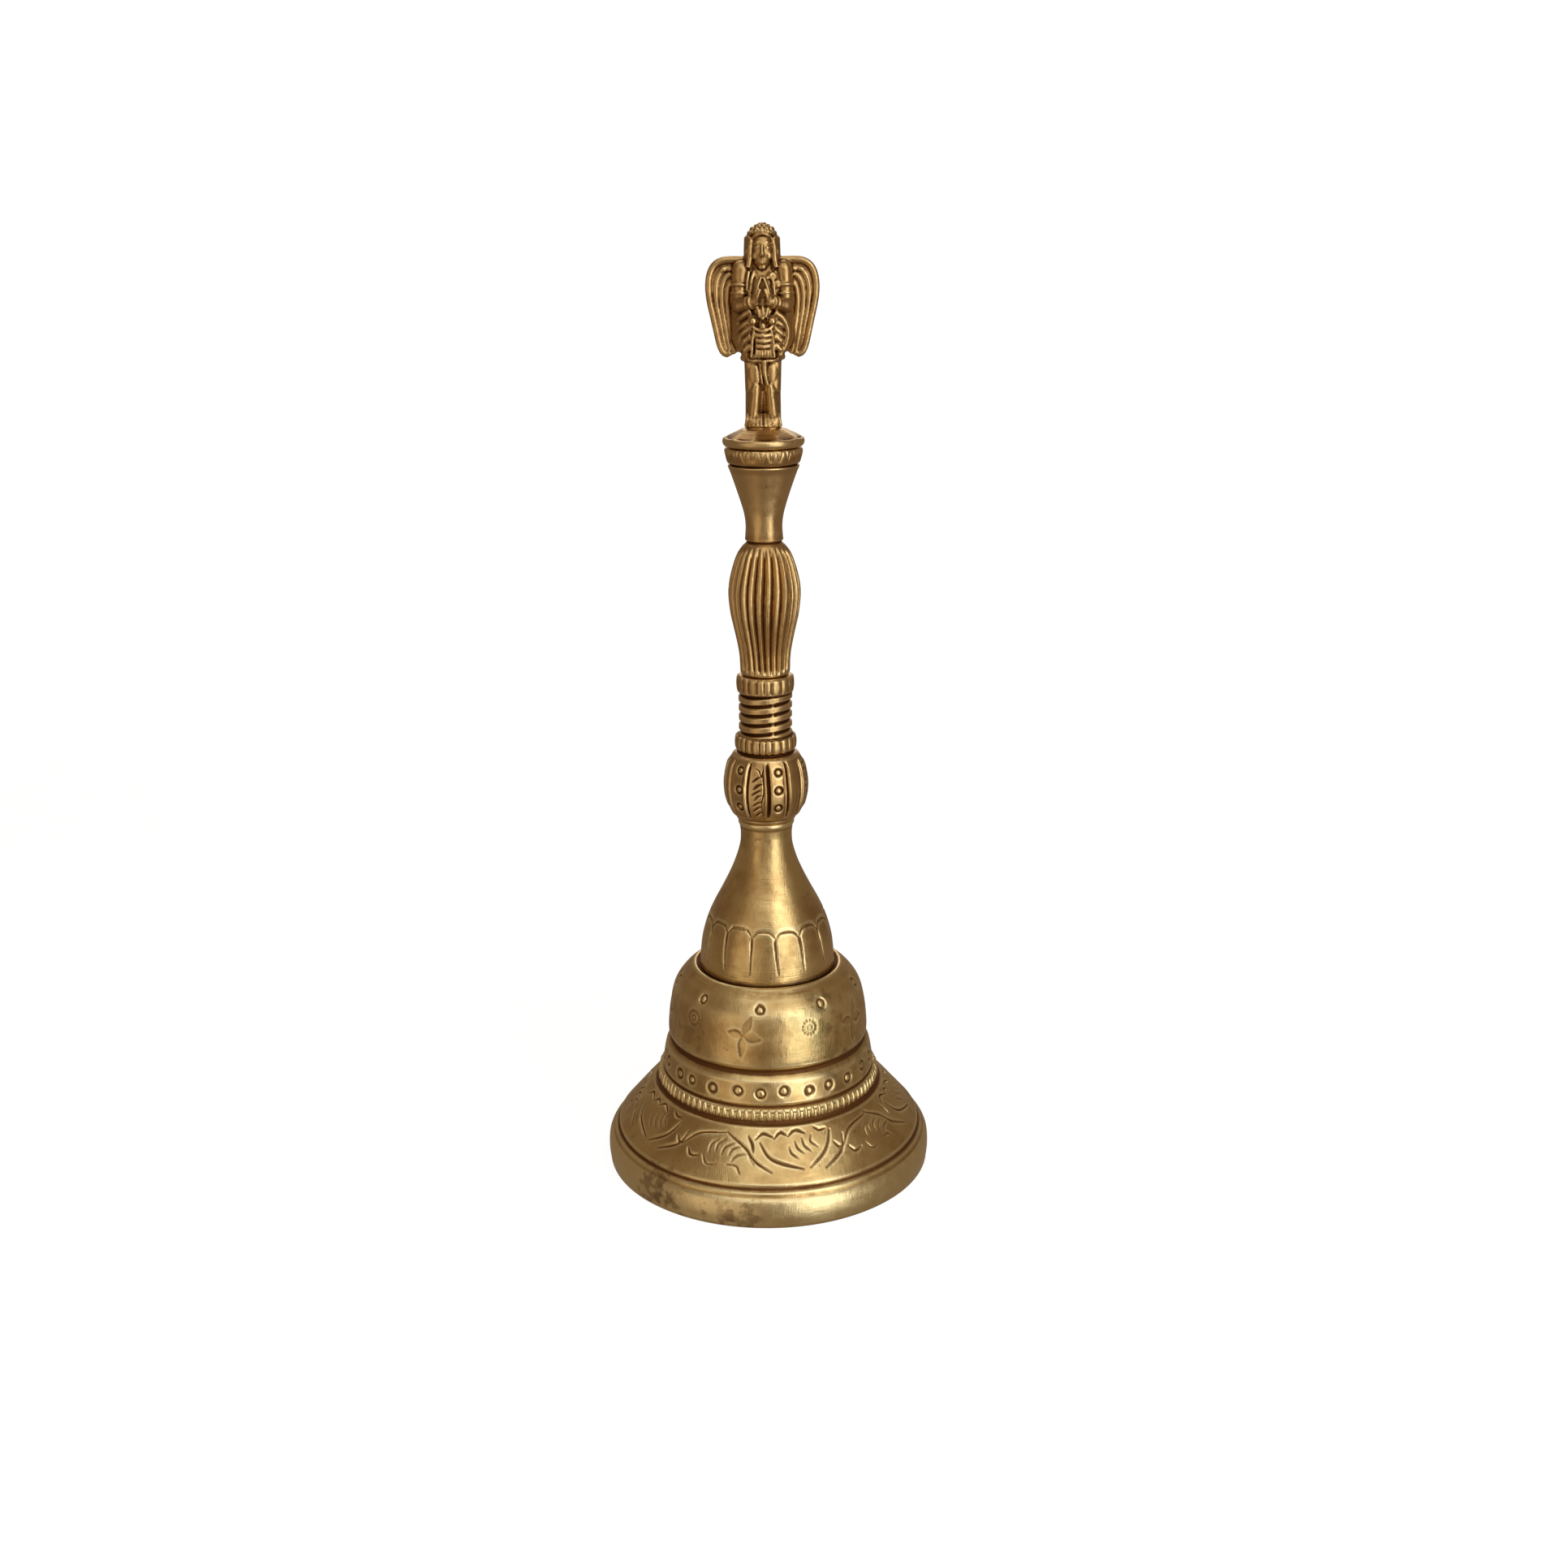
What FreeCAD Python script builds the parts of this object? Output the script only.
"""Brass puja bell: a hand bell of cast and turned brass with a winged figure on its handle.

The bell stands on its rim. The origin is the centre of the rim's plane, +Z runs up the handle,
and the figure faces -Y. All sizes are in millimetres.

How it comes apart, from the top: the winged finial screws into the handle stem by a spigot under
its disc. An eye stud screws up into the stem's knob, through the neck cone and the crown of the
cup, and a nut and washer inside the crown clamp the three together. The clapper hangs from the
stud's eye by a wire link ring, and its bob is riveted on the clapper rod.
"""

import FreeCAD, Part

import math
import os
import re

import Sketcher
from FreeCAD import Placement, Rotation, Vector

DRIVING_DIMENSIONS = {
    # bell cup, outside
    "rim_radius": 27.2,
    "rim_band": 4.6,
    "edge_round": 0.6,
    "rim_groove_z": 6.0,
    "rim_groove_radius": 25.75,
    "skirt_curve": 70.0,
    "skirt_top_z": 13.8,
    "skirt_top_radius": 19.1,
    "bead_row_radius": 18.3,
    "bead_row_top_z": 16.5,
    "bead_round": 1.5,
    "band_radius": 17.7,
    "band_top_radius": 16.95,
    "band_top_z": 21.8,
    "dome_radius": 16.7,
    "dome_foot_z": 22.5,
    "dome_wall_z": 25.0,
    "dome_curve": 17.0,
    "shoulder_radius": 15.5,
    "shoulder_z": 31.0,
    "shoulder_curve": 5.0,
    "shoulder_top_radius": 12.4,
    "crown_z": 34.9,
    # bell cup, inside
    "lip_wall": 2.7,
    "lip_z": 3.2,
    "skirt_inner_radius": 16.9,
    "skirt_inner_z": 13.4,
    "waist_inner_radius": 14.5,
    "waist_inner_z": 21.5,
    "crown_curve": 6.5,
    "crown_inner_radius": 9.0,
    "crown_wall": 2.2,
    "crown_arch_z": 28.0,
    # neck cone
    "cone_seat_z": 34.4,
    "cone_foot_radius": 11.1,
    "cone_foot_z": 36.0,
    "cone_bulge": 21.0,
    "cone_mid_radius": 8.9,
    "cone_mid_z": 44.8,
    "cone_neck_radius": 5.93,
    "cone_neck_z": 50.7,
    "cone_flare": 14.0,
    "waist_radius": 4.16,
    "waist_z": 56.6,
    "cone_top_radius": 4.5,
    "cone_top_z": 59.9,
    "cone_wall": 2.2,
    "petal_count": 15,
    "petal_cut_angle": 2.0,
    "petal_cut_depth": 0.3,
    "petal_foot_z": 37.0,
    "petal_top_z": 43.0,
    # handle stem
    "knob_foot_radius": 4.8,
    "knob_foot": 0.8,
    "knob_end_radius": 5.2,
    "knob_top_z": 70.9,
    "knob_curve": 9.3,
    "knob_clear_radius": 7.8,
    "knob_panels": 12,
    "knob_cut_angle": 3.5,
    "knob_cut_depth": 0.4,
    "collar_radius": 4.9,
    "collar_foot_z": 71.3,
    "collar_top_z": 73.7,
    "collar_round": 1.5,
    "ring_radius": 4.25,
    "ring_count": 4,
    "ring_groove": 0.45,
    "rings_top_z": 80.6,
    "upper_collar_radius": 4.55,
    "upper_collar_top_z": 83.6,
    "grip_foot_radius": 3.95,
    "grip_foot_z": 84.3,
    "grip_low_radius": 4.9,
    "grip_low_z": 91.5,
    "grip_radius": 5.72,
    "grip_z": 96.9,
    "grip_top_radius": 3.4,
    "grip_top_z": 104.6,
    "grip_hollow_curve": 26.0,
    "grip_belly_curve": 18.0,
    "grip_head_curve": 13.6,
    "flute_count": 24,
    "flute_angle": 5.0,
    "flute_depth": 0.4,
    "column_radius": 2.9,
    "column_foot_z": 105.2,
    "column_waist_z": 107.4,
    "column_curve": 18.4,
    "column_top_radius": 5.4,
    "column_top_z": 116.6,
    "cap_ring_radius": 6.1,
    "cap_ring_z": 118.6,
    "cap_ring_top_z": 119.5,
    "joint_groove": 0.35,
    # winged finial
    "disc_radius": 6.3,
    "disc_edge": 1.4,
    "disc_top_radius": 3.0,
    "disc_top_z": 122.3,
    "figure_top_z": 152.4,
    "head_half_width": 2.85,
    "head_half_depth": 2.6,
    "head_half_height": 3.4,
    "chest_half_width": 4.1,
    "chest_half_depth": 2.4,
    "chest_half_height": 4.6,
    "chest_z": 142.4,
    "hips_half_width": 4.4,
    "hips_half_depth": 2.5,
    "hips_half_height": 4.4,
    "hips_z": 137.4,
    "kilt_foot_radius": 2.6,
    "kilt_top_radius": 3.1,
    "kilt_foot_z": 132.2,
    "leg_radius": 1.3,
    "leg_spread": 1.2,
    "foot_half_width": 1.45,
    "foot_half_length": 2.1,
    "foot_half_height": 1.1,
    "foot_forward": 0.9,
    "arm_radius": 1.1,
    "arm_spread": 3.5,
    "shoulder_joint_z": 145.0,
    "elbow_z": 140.2,
    "elbow_forward": 0.9,
    "palm_z": 143.0,
    "palm_forward": 2.7,
    "palm_half_width": 1.2,
    "palm_half_depth": 0.9,
    "palm_half_height": 2.3,
    "wing_span": 8.6,
    "wing_top_z": 147.2,
    "wing_foot_z": 133.6,
    "wing_tip_z": 133.1,
    "wing_tip_round": 0.9,
    "wing_tip_inside": 4.6,
    "wing_tip_outside": 6.1,
    "wing_notch": 4.0,
    "wing_shoulder_round": 3.6,
    "wing_thickness": 1.5,
    "wing_set_back": 0.9,
    # screw joints
    "thread_radius": 2.0,
    "thread_gap": 0.04,
    "bore_gap": 0.3,
    "stud_top_z": 70.0,
    "spigot_length": 6.0,
    "washer_radius": 4.6,
    "washer_thickness": 0.5,
    "nut_flats": 7.0,
    "nut_height": 2.0,
    # clapper and its suspension
    "eye_ring": 2.0,
    "eye_wire": 0.55,
    "eye_gap": 0.1,
    "link_ring": 2.1,
    "link_wire": 0.4,
    "hang_gap": 0.03,
    "clapper_eye": 1.6,
    "clapper_wire": 0.6,
    "bob_radius": 4.8,
    "bob_z": 6.8,
    "bob_foot_z": 2.4,
    "bob_neck_radius": 1.4,
    "bob_neck_z": 12.6,
    "rivet_radius": 1.3,
    "rivet_height": 0.6,
}

doc = FreeCAD.newDocument("PujaBell")
sheet = doc.addObject("Spreadsheet::Sheet", "Dims")
sub_parts = []


def fill_sheet():
    """Writes each driving dimension to a cell of the sheet, under its own alias."""
    for row, (name, size) in enumerate(DRIVING_DIMENSIONS.items(), start=1):
        sheet.set("A%d" % row, name)
        sheet.set("B%d" % row, str(size))
        sheet.setAlias("B%d" % row, name)
    doc.recompute()


def cells(text):
    """Turns words such as 'rim_radius - lip_wall' into an expression on the sheet's cells."""
    return re.sub(r"\b([a-z][a-z_]*)\b(?!\()", r"Dims.\1", text)


def number(text):
    """The value that such an expression has now."""
    result = sheet.evalExpression(cells(text))
    return float(getattr(result, "Value", result))


def bind(thing, path, text):
    """Binds a property or a constraint of a document object to the sheet's cells."""
    thing.setExpression(path, cells(text))


def finish(thing, label):
    """Notes a finished sub-part under the label that names its file."""
    thing.Label = label
    sub_parts.append(thing)
    return thing


# ---------------------------------------------------------------- sketch helpers


def origin_plane(body, role):
    """One of a body's own three origin planes."""
    return next(feature for feature in body.Origin.OriginFeatures if feature.Role == role)


def arc_between(start, end, radius, side):
    """An arc of a circle from start to end, with its centre to the left (+1) or right (-1)."""
    chord = end - start
    middle = (start + end) * 0.5
    across = Vector(-chord.y, chord.x, 0).normalize() * side
    centre = middle + across * math.sqrt(max(radius**2 - (chord.Length / 2) ** 2, 0.0))
    angles = [math.atan2(p.y - centre.y, p.x - centre.x) for p in (start, end)]
    if side < 0:
        angles.reverse()
    circle = Part.Circle(centre, Vector(0, 0, 1), radius)
    return Part.ArcOfCircle(circle, angles[0], angles[1])


def outline_sketch(body, name, outline, plane="XZ_Plane"):
    """A closed outline on one of the body's planes, bound point by point to the sheet.

    Each corner is (across, up) in words on the cells. A third and fourth item give the radius and
    the side of the arc that leads to the next corner, which is otherwise joined by a line.
    """
    sketch = body.newObject("Sketcher::SketchObject", name)
    sketch.AttachmentSupport = (origin_plane(body, plane), [""])
    sketch.MapMode = "FlatFace"
    corners = [Vector(number(c[0]), number(c[1]), 0) for c in outline]
    ends = []
    for index, corner in enumerate(outline):
        start, end = corners[index], corners[(index + 1) % len(corners)]
        if len(corner) == 4:
            edge = arc_between(start, end, number(corner[2]), corner[3])
            first, last = (1, 2) if corner[3] > 0 else (2, 1)
        else:
            edge = Part.LineSegment(start, end)
            first, last = 1, 2
        geometry = sketch.addGeometry(edge, False)
        ends.append((geometry, first, last))
        if len(corner) == 4:
            row = sketch.addConstraint(Sketcher.Constraint("Radius", geometry, number(corner[2])))
            bind(sketch, "Constraints[%d]" % row, corner[2])
    for index, (geometry, first, last) in enumerate(ends):
        following = ends[(index + 1) % len(ends)]
        sketch.addConstraint(
            Sketcher.Constraint("Coincident", geometry, last, following[0], following[1])
        )
        pin_corner(sketch, geometry, first, outline[index])
    return sketch


def pin_corner(sketch, geometry, point, corner):
    """Holds one corner at its distance across and up from the sketch's origin."""
    for kind, text, axis in (("DistanceX", corner[0], -2), ("DistanceY", corner[1], -1)):
        size = number(text)
        if abs(size) < 1e-9:
            sketch.addConstraint(Sketcher.Constraint("PointOnObject", geometry, point, axis))
            continue
        if size > 0:
            rule = Sketcher.Constraint(kind, -1, 1, geometry, point, size)
            row = sketch.addConstraint(rule)
            bind(sketch, "Constraints[%d]" % row, text)
        else:
            rule = Sketcher.Constraint(kind, geometry, point, -1, 1, -size)
            row = sketch.addConstraint(rule)
            bind(sketch, "Constraints[%d]" % row, "-1 * (%s)" % text)


def turned(body, name, outline):
    """A solid of revolution about +Z from an outline of (radius, height) corners."""
    sketch = outline_sketch(body, name + "_outline", outline)
    revolution = body.newObject("PartDesign::Revolution", name)
    revolution.Profile = sketch
    revolution.ReferenceAxis = (sketch, ["V_Axis"])
    revolution.Angle = 360.0
    sketch.Visibility = False
    doc.recompute()
    return revolution


def cut_round(body, name, outline, angle, count):
    """Cuts a narrow sector of an outline out of the body, repeated evenly about +Z."""
    before = body.Shape.Volume
    sketch = outline_sketch(body, name + "_outline", outline)
    groove = body.newObject("PartDesign::Groove", name)
    groove.Profile = sketch
    groove.ReferenceAxis = (sketch, ["V_Axis"])
    groove.Midplane = True
    bind(groove, "Angle", angle)
    doc.recompute()
    pattern = body.newObject("PartDesign::PolarPattern", name + "_round")
    pattern.Originals = [groove]
    pattern.Axis = (sketch, ["V_Axis"])
    pattern.Angle = 360.0
    bind(pattern, "Occurrences", count)
    body.Tip = pattern
    doc.recompute()
    if body.Shape.Volume >= before:
        raise RuntimeError("%s cut nothing away" % name)
    return pattern


# ---------------------------------------------------------------- bell cup


def make_bell_cup():
    """The cup in one casting: rim, flared skirt, bead row, plain band and dome, hollow inside."""
    body = doc.addObject("PartDesign::Body", "BellCup")
    turned(
        body,
        "cup_wall",
        [
            ("rim_radius - lip_wall", "0"),
            ("rim_radius - edge_round", "0", "edge_round", 1),
            ("rim_radius", "edge_round"),
            ("rim_radius", "rim_band - edge_round * 2", "edge_round * 2.5", 1),
            ("rim_radius - edge_round", "rim_band + edge_round"),
            ("rim_groove_radius", "rim_groove_z", "skirt_curve", 1),
            ("skirt_top_radius", "skirt_top_z"),
            ("bead_row_radius", "skirt_top_z", "bead_round", 1),
            ("bead_row_radius - joint_groove", "bead_row_top_z"),
            ("band_radius", "bead_row_top_z + joint_groove"),
            ("band_top_radius", "band_top_z"),
            ("band_top_radius - joint_groove * 2", "band_top_z + joint_groove"),
            ("dome_radius - joint_groove", "dome_foot_z"),
            ("dome_radius", "dome_foot_z + joint_groove"),
            ("dome_radius", "dome_wall_z", "dome_curve", 1),
            ("shoulder_radius", "shoulder_z", "shoulder_curve", 1),
            ("shoulder_top_radius", "crown_z"),
            ("cone_foot_radius + joint_groove", "crown_z"),
            ("cone_foot_radius + joint_groove", "cone_seat_z"),
            ("thread_radius + bore_gap", "cone_seat_z"),
            ("thread_radius + bore_gap", "cone_seat_z - crown_wall"),
            ("crown_inner_radius", "cone_seat_z - crown_wall", "crown_curve", -1),
            ("waist_inner_radius - bore_gap", "crown_arch_z"),
            ("waist_inner_radius", "waist_inner_z"),
            ("skirt_inner_radius", "skirt_inner_z"),
            ("rim_radius - lip_wall - bore_gap", "lip_z"),
        ],
    )
    return finish(body, "bell_cup")


# ---------------------------------------------------------------- neck cone


def make_neck_cone():
    """The hollow cone between the cup and the handle, with a cut between each two petals."""
    body = doc.addObject("PartDesign::Body", "NeckCone")
    turned(
        body,
        "cone_wall",
        [
            ("cone_foot_radius - cone_wall", "cone_seat_z"),
            ("cone_foot_radius", "cone_seat_z"),
            ("cone_foot_radius", "cone_foot_z", "cone_bulge", 1),
            ("cone_mid_radius", "cone_mid_z"),
            ("cone_neck_radius", "cone_neck_z", "cone_flare", -1),
            ("waist_radius", "waist_z"),
            ("cone_top_radius", "cone_top_z - joint_groove * 2"),
            ("cone_top_radius - joint_groove", "cone_top_z"),
            ("thread_radius + bore_gap", "cone_top_z"),
            ("thread_radius + bore_gap", "cone_neck_z"),
            ("cone_mid_radius - cone_wall", "cone_mid_z - cone_wall"),
            ("cone_foot_radius - cone_wall", "cone_foot_z + cone_wall"),
        ],
    )
    cut_round(
        body,
        "petal_cut",
        [
            ("cone_foot_radius - petal_cut_depth", "petal_foot_z"),
            ("cone_foot_radius + cone_wall", "petal_foot_z"),
            ("cone_foot_radius + cone_wall", "petal_top_z"),
            ("cone_mid_radius + petal_cut_depth", "petal_top_z"),
        ],
        "petal_cut_angle",
        "petal_count",
    )
    return finish(body, "neck_cone")


# ---------------------------------------------------------------- handle stem


def ring_corners():
    """The ringed neck's grooves, each a small arc cut into the turned surface, lowest first."""
    pitch = "(rings_top_z - collar_top_z) / ring_count"
    corners = []
    for index in range(DRIVING_DIMENSIONS["ring_count"]):
        low = "collar_top_z + %s * %d" % (pitch, index)
        corners.append(("ring_radius - ring_groove", low))
        corners.append(("ring_radius", low + " + ring_groove"))
        corners.append(("ring_radius", low + " + %s - ring_groove" % pitch))
    return corners


def make_handle_stem():
    """The hand-held casting: knob, collars, ringed neck, fluted grip, flared column, cap ring."""
    body = doc.addObject("PartDesign::Body", "HandleStem")
    bore = "thread_radius + thread_gap"
    turned(
        body,
        "stem_body",
        [
            (bore, "cone_top_z"),
            ("knob_foot_radius - joint_groove", "cone_top_z"),
            ("knob_foot_radius", "cone_top_z + joint_groove"),
            ("knob_end_radius", "cone_top_z + knob_foot", "knob_curve", 1),
            ("knob_end_radius", "knob_top_z"),
            ("collar_radius - joint_groove", "collar_foot_z", "collar_round", 1),
            ("collar_radius - joint_groove", "collar_top_z"),
        ]
        + ring_corners()
        + [
            ("ring_radius - ring_groove", "rings_top_z"),
            ("upper_collar_radius", "rings_top_z + joint_groove"),
            ("upper_collar_radius", "upper_collar_top_z - joint_groove"),
            ("grip_foot_radius - joint_groove", "upper_collar_top_z"),
            ("grip_foot_radius - joint_groove", "grip_foot_z - joint_groove"),
            ("grip_foot_radius", "grip_foot_z", "grip_hollow_curve", -1),
            ("grip_low_radius", "grip_low_z", "grip_belly_curve", 1),
            ("grip_radius", "grip_z", "grip_head_curve", 1),
            ("grip_top_radius", "grip_top_z"),
            ("column_radius - joint_groove", "grip_top_z + joint_groove"),
            ("column_radius", "column_foot_z + joint_groove"),
            ("column_radius", "column_waist_z", "column_curve", -1),
            ("column_top_radius", "column_top_z"),
            ("column_top_radius - joint_groove", "column_top_z + joint_groove"),
            ("column_top_radius", "column_top_z + joint_groove * 2"),
            ("cap_ring_radius", "cap_ring_z"),
            ("cap_ring_radius - joint_groove", "cap_ring_top_z"),
            (bore, "cap_ring_top_z"),
            (bore, "cap_ring_top_z - spigot_length - bore_gap"),
            ("0", "cap_ring_top_z - spigot_length - bore_gap"),
            ("0", "stud_top_z + bore_gap"),
            (bore, "stud_top_z + bore_gap"),
        ],
    )
    cut_round(
        body,
        "flute",
        [
            ("grip_foot_radius - flute_depth", "grip_foot_z", "grip_hollow_curve", -1),
            ("grip_low_radius - flute_depth", "grip_low_z", "grip_belly_curve", 1),
            ("grip_radius - flute_depth", "grip_z", "grip_head_curve", 1),
            ("grip_top_radius - flute_depth", "grip_top_z"),
            ("grip_radius + flute_depth", "grip_top_z"),
            ("grip_radius + flute_depth", "grip_foot_z"),
        ],
        "flute_angle",
        "flute_count",
    )
    cut_round(
        body,
        "knob_cut",
        [
            ("knob_end_radius - knob_cut_depth", "cone_top_z + knob_foot", "knob_curve", 1),
            ("knob_end_radius - knob_cut_depth", "knob_top_z"),
            ("knob_clear_radius", "knob_top_z"),
            ("knob_clear_radius", "cone_top_z + knob_foot"),
        ],
        "knob_cut_angle",
        "knob_panels",
    )
    return finish(body, "handle_stem")


# ---------------------------------------------------------------- winged finial


def at(thing, place):
    """Binds a primitive's own origin to a place, given as three pieces of words on the cells."""
    for axis, words in zip("xyz", place):
        bind(thing, "Placement.Base." + axis, words)


def ellipsoid(name, place, half_width, half_depth, half_height):
    """A solid ellipsoid about a place, sized along X, Y and Z."""
    solid = doc.addObject("Part::Ellipsoid", name)
    bind(solid, "Radius1", half_height)
    bind(solid, "Radius2", half_width)
    bind(solid, "Radius3", half_depth)
    at(solid, place)
    return solid


def limb(name, foot, top, foot_radius, top_radius):
    """A tapered round limb between two places."""
    solid = doc.addObject("Part::Cone", name)
    run = Vector(*(number(words) for words in top)) - Vector(*(number(words) for words in foot))
    squares = ["(%s - (%s)) ^ 2" % ends for ends in zip(top, foot)]
    bind(solid, "Height", "sqrt(%s)" % " + ".join(squares))
    bind(solid, "Radius1", foot_radius)
    bind(solid, "Radius2", top_radius)
    solid.Placement = Placement(Vector(), Rotation(Vector(0, 0, 1), run))
    at(solid, foot)
    return solid


def make_wing(side):
    """One folded wing: a plate behind the arm, round at the shoulder and narrow at its tip."""
    body = doc.addObject("PartDesign::Body", "Wing_right" if side > 0 else "Wing_left")
    sign = "" if side > 0 else "-1 * "
    sketch = outline_sketch(
        body,
        body.Name + "_outline",
        [
            (sign + "(leg_radius)", "wing_foot_z"),
            (sign + "(wing_notch)", "wing_foot_z"),
            (sign + "(wing_tip_inside)", "wing_tip_z", "wing_tip_round", side),
            (sign + "(wing_tip_outside)", "wing_tip_z"),
            (
                sign + "(wing_span)",
                "wing_top_z - wing_shoulder_round",
                "wing_shoulder_round",
                side,
            ),
            (sign + "(wing_span - wing_shoulder_round)", "wing_top_z"),
            (sign + "(leg_radius)", "wing_top_z"),
        ],
    )
    pad = body.newObject("PartDesign::Pad", body.Name + "_plate")
    pad.Profile = sketch
    pad.Midplane = True
    bind(pad, "Length", "wing_thickness")
    doc.recompute()
    bind(body, "Placement.Base.y", "wing_set_back")
    return body


def make_finial_base():
    """The disc that the figure stands on, with the screwed spigot under it."""
    body = doc.addObject("PartDesign::Body", "FinialBase")
    turned(
        body,
        "finial_disc",
        [
            ("0", "cap_ring_top_z - spigot_length"),
            ("thread_radius", "cap_ring_top_z - spigot_length"),
            ("thread_radius", "cap_ring_top_z"),
            ("disc_radius - joint_groove * 2", "cap_ring_top_z"),
            ("disc_radius", "cap_ring_top_z + joint_groove * 2"),
            ("disc_radius", "cap_ring_top_z + disc_edge"),
            ("disc_top_radius", "disc_top_z"),
            ("0", "disc_top_z"),
        ],
    )
    return body


def make_arm_and_leg(side):
    """One side's leg and foot, and its arm bent at the elbow towards the joined palms."""
    sign = "" if side > 0 else "-1 * "
    shoulder = (sign + "arm_spread", "0", "shoulder_joint_z")
    elbow = (sign + "arm_spread", "-1 * elbow_forward", "elbow_z")
    wrist = ("0", "-1 * palm_forward", "palm_z - palm_half_height / 2")
    ankle = (sign + "leg_spread", "0", "disc_top_z - leg_radius")
    thigh = (sign + "leg_spread", "0", "kilt_foot_z + leg_radius")
    toes = (sign + "leg_spread", "-1 * foot_forward", "disc_top_z")
    return [
        limb("Leg", ankle, thigh, "leg_radius", "leg_radius"),
        ellipsoid("Foot", toes, "foot_half_width", "foot_half_length", "foot_half_height"),
        limb("Upper_arm", elbow, shoulder, "arm_radius", "arm_radius"),
        ellipsoid("Elbow", elbow, "arm_radius", "arm_radius", "arm_radius"),
        limb("Forearm", elbow, wrist, "arm_radius", "palm_half_depth"),
    ]


def make_winged_finial():
    """The figure: feet on the disc, legs, kilt, chest, joined palms, head and two wings."""
    head = ("0", "0", "figure_top_z - head_half_height")
    palms = ("0", "-1 * palm_forward", "palm_z")
    waist = ("0", "0", "hips_z")
    hem = ("0", "0", "kilt_foot_z")
    chest = ("0", "0", "chest_z")
    pieces = [
        make_finial_base(),
        ellipsoid("Head", head, "head_half_width", "head_half_depth", "head_half_height"),
        ellipsoid("Chest", chest, "chest_half_width", "chest_half_depth", "chest_half_height"),
        ellipsoid("Hips", waist, "hips_half_width", "hips_half_depth", "hips_half_height"),
        limb("Kilt", hem, waist, "kilt_foot_radius", "kilt_top_radius"),
        ellipsoid("Palms", palms, "palm_half_width", "palm_half_depth", "palm_half_height"),
    ]
    for side in (-1, 1):
        pieces += make_arm_and_leg(side)
        pieces.append(make_wing(side))
    doc.recompute()
    fused = doc.addObject("Part::MultiFuse", "WingedFinial")
    fused.Shapes = pieces
    return finish(fused, "winged_finial")


# ---------------------------------------------------------------- screw joints inside the crown

WASHER_TOP = "cone_seat_z - crown_wall"
NUT_TOP = WASHER_TOP + " - washer_thickness"
EYE_CENTRE = NUT_TOP + " - nut_height - eye_gap - eye_ring - eye_wire"
LINK_CENTRE = EYE_CENTRE + " - eye_ring + eye_wire + link_wire + hang_gap - link_ring"
CLAPPER_EYE_CENTRE = LINK_CENTRE + " - link_ring + link_wire + clapper_wire + hang_gap - clapper_eye"


def wire_ring(name, centre, ring, wire, axis):
    """A ring of round wire about a centre height, its hole facing along the given axis."""
    torus = doc.addObject("Part::Torus", name)
    bind(torus, "Radius1", ring)
    bind(torus, "Radius2", wire)
    torus.Placement = Placement(Vector(0, 0, 0), Rotation(Vector(0, 0, 1), axis))
    bind(torus, "Placement.Base.z", centre)
    return torus


def make_eye_stud():
    """The threaded stud that ties cup, cone and stem, with the clapper's eye at its lower end."""
    eye = wire_ring("StudEye", EYE_CENTRE, "eye_ring", "eye_wire", Vector(0, 1, 0))
    body = doc.addObject("PartDesign::Body", "StudShank")
    turned(
        body,
        "stud_shank",
        [
            ("0", EYE_CENTRE + " + eye_ring"),
            ("eye_wire", EYE_CENTRE + " + eye_ring"),
            ("thread_radius", NUT_TOP + " - nut_height"),
            ("thread_radius", "stud_top_z - joint_groove"),
            ("thread_radius - joint_groove", "stud_top_z"),
            ("0", "stud_top_z"),
        ],
    )
    fused = doc.addObject("Part::Fuse", "EyeStud")
    fused.Base = body
    fused.Tool = eye
    return finish(fused, "eye_stud")


def make_crown_washer():
    """The flat washer that spreads the nut's load under the crown."""
    body = doc.addObject("PartDesign::Body", "CrownWasher")
    turned(
        body,
        "washer",
        [
            ("thread_radius + bore_gap", NUT_TOP),
            ("washer_radius", NUT_TOP),
            ("washer_radius", WASHER_TOP),
            ("thread_radius + bore_gap", WASHER_TOP),
        ],
    )
    return finish(body, "crown_washer")


def make_crown_nut():
    """The thin hexagon nut on the stud, with its corners turned off."""
    prism = doc.addObject("Part::Prism", "NutPrism")
    prism.Polygon = 6
    bind(prism, "Circumradius", "nut_flats / 1.7320508")
    bind(prism, "Height", "nut_height")
    bind(prism, "Placement.Base.z", NUT_TOP + " - nut_height")
    body = doc.addObject("PartDesign::Body", "NutTurning")
    turned(
        body,
        "nut_turning",
        [
            ("thread_radius + thread_gap", NUT_TOP + " - nut_height"),
            ("nut_flats / 2", NUT_TOP + " - nut_height"),
            ("nut_flats / 1.7320508", NUT_TOP + " - nut_height + joint_groove"),
            ("nut_flats / 1.7320508", NUT_TOP),
            ("thread_radius + thread_gap", NUT_TOP),
        ],
    )
    nut = doc.addObject("Part::Common", "CrownNut")
    nut.Base = prism
    nut.Tool = body
    return finish(nut, "crown_nut")


# ---------------------------------------------------------------- clapper


def make_link_ring():
    """The closed wire ring between the stud's eye and the clapper's eye."""
    return finish(
        wire_ring("LinkRing", LINK_CENTRE, "link_ring", "link_wire", Vector(1, 0, 0)), "link_ring"
    )


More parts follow.
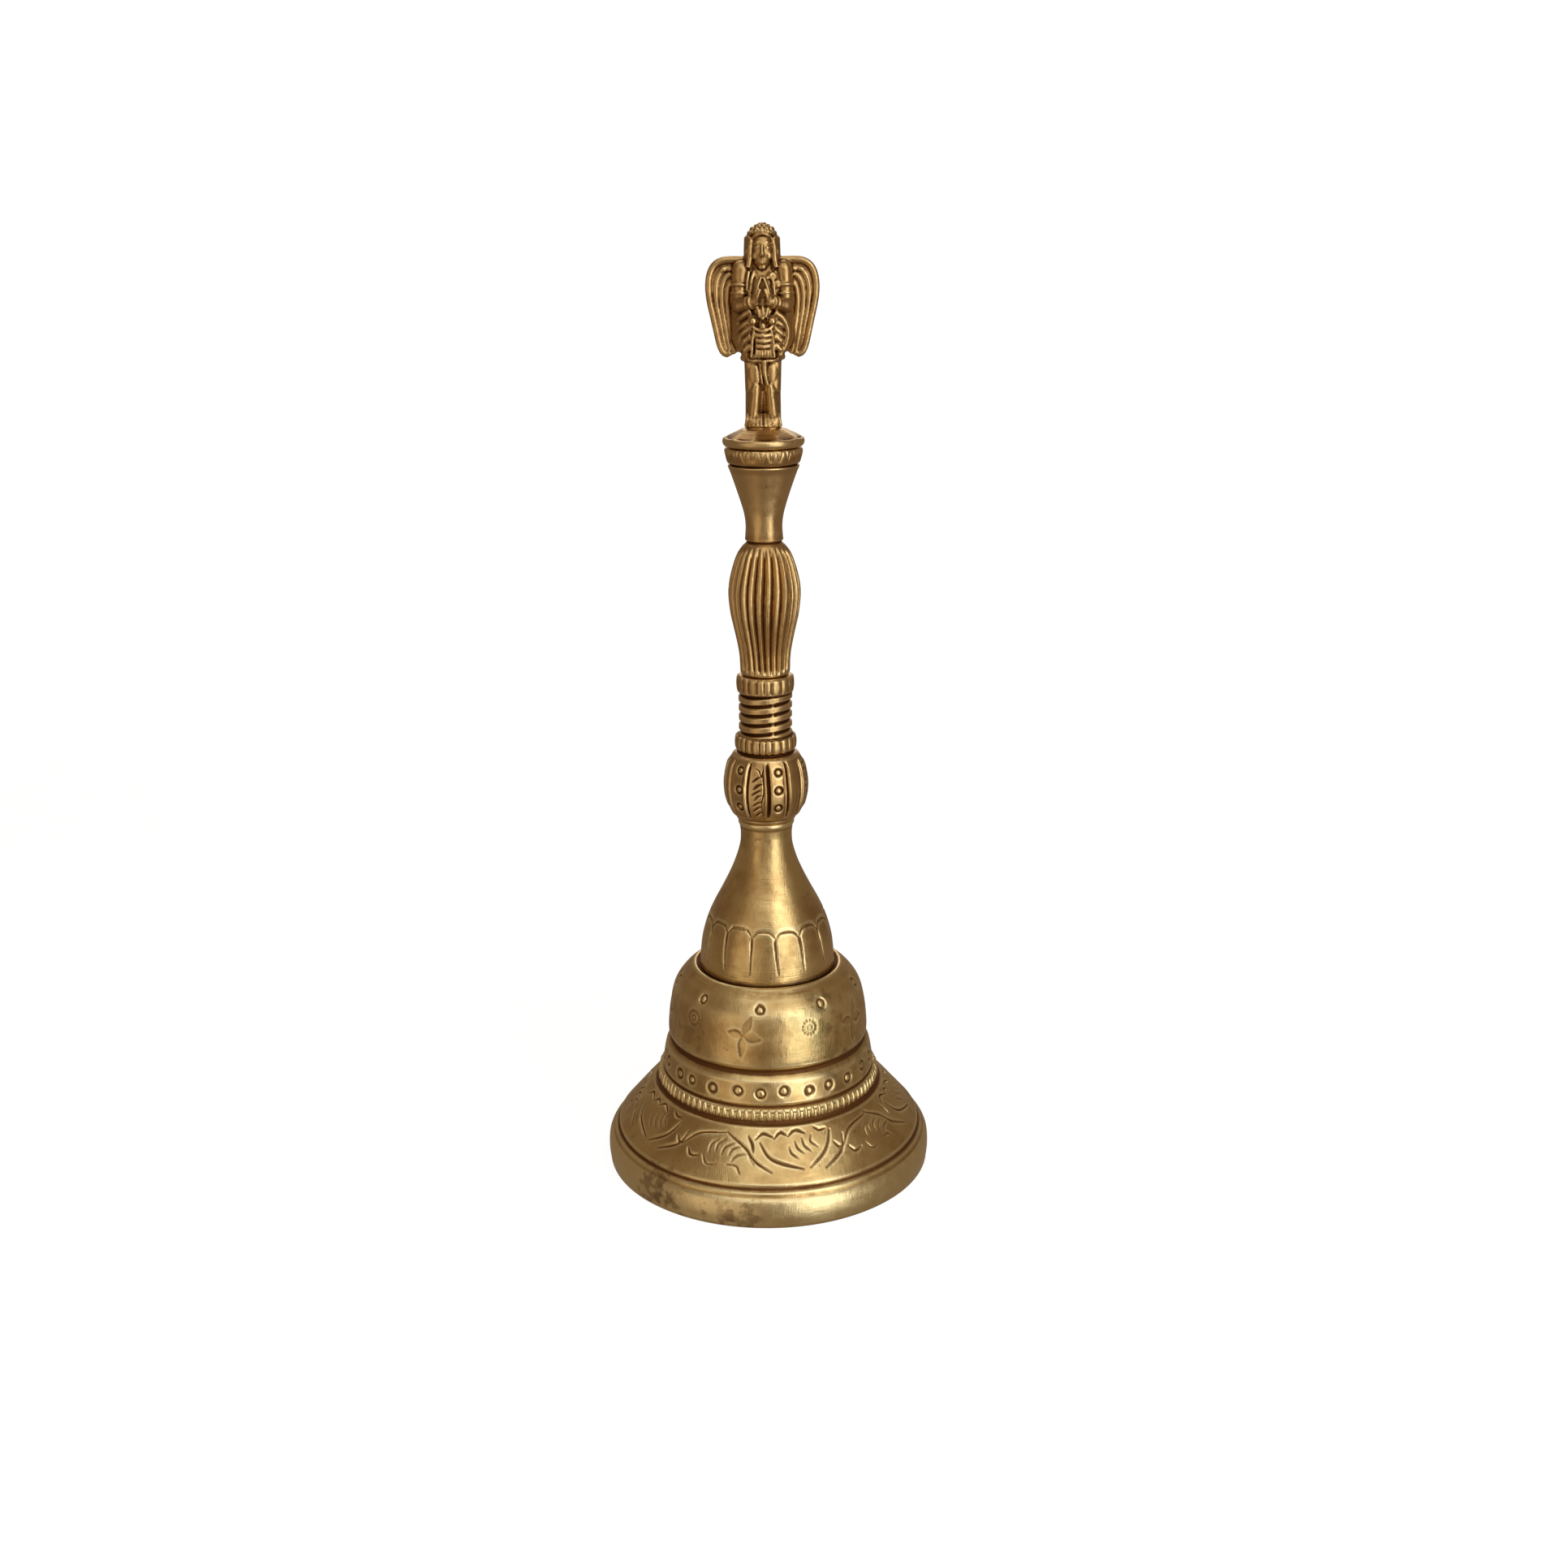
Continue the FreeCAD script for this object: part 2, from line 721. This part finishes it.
def make_clapper_rod():
    """The clapper's wire rod: an eye at its top, and a riveted head under the bob."""
    eye = wire_ring("ClapperEye", CLAPPER_EYE_CENTRE, "clapper_eye", "clapper_wire", Vector(0, 1, 0))
    body = doc.addObject("PartDesign::Body", "ClapperWire")
    turned(
        body,
        "clapper_wire_rod",
        [
            ("0", "bob_foot_z - rivet_height"),
            ("rivet_radius - joint_groove", "bob_foot_z - rivet_height"),
            ("rivet_radius", "bob_foot_z"),
            ("clapper_wire", "bob_foot_z"),
            ("clapper_wire", CLAPPER_EYE_CENTRE + " - clapper_eye"),
            ("0", CLAPPER_EYE_CENTRE + " - clapper_eye"),
        ],
    )
    fused = doc.addObject("Part::Fuse", "ClapperRod")
    fused.Base = body
    fused.Tool = eye
    return finish(fused, "clapper_rod")


def make_clapper_bob():
    """The turned brass bob that strikes the cup, drilled for the rod."""
    body = doc.addObject("PartDesign::Body", "ClapperBob")
    bore = "clapper_wire + thread_gap"
    flat = "sqrt(bob_radius ^ 2 - (bob_z - bob_foot_z) ^ 2)"
    crown = "bob_z + sqrt(bob_radius ^ 2 - (bob_neck_radius + joint_groove) ^ 2)"
    turned(
        body,
        "bob",
        [
            (bore, "bob_foot_z"),
            (flat, "bob_foot_z", "bob_radius", 1),
            ("bob_radius", "bob_z", "bob_radius", 1),
            ("bob_neck_radius + joint_groove", crown),
            ("bob_neck_radius", "bob_neck_z"),
            (bore, "bob_neck_z"),
        ],
    )
    return finish(body, "clapper_bob")


# ---------------------------------------------------------------- build and write


def check_document():
    """Stops if any object of the document failed, or a sub-part has no valid solid."""
    for thing in doc.Objects:
        if {"Invalid", "Error"} & set(thing.State):
            raise RuntimeError("%s failed: %s" % (thing.Label, thing.State))
    for part in sub_parts:
        shape = part.Shape
        if shape.isNull() or not shape.isValid() or not shape.Solids:
            raise RuntimeError("%s is not a valid solid" % part.Label)
        print("%s: %d solid, %.1f mm3" % (part.Label, len(shape.Solids), shape.Volume))


def write_parts():
    """Writes each sub-part to its own STEP file, named by its label."""
    os.makedirs("parts", exist_ok=True)
    for part in sub_parts:
        part.Shape.exportStep("parts/%s.step" % part.Label)


fill_sheet()
make_bell_cup()
make_neck_cone()
make_handle_stem()
make_winged_finial()
make_eye_stud()
make_crown_washer()
make_crown_nut()
make_link_ring()
make_clapper_rod()
make_clapper_bob()
doc.recompute()
check_document()
write_parts()
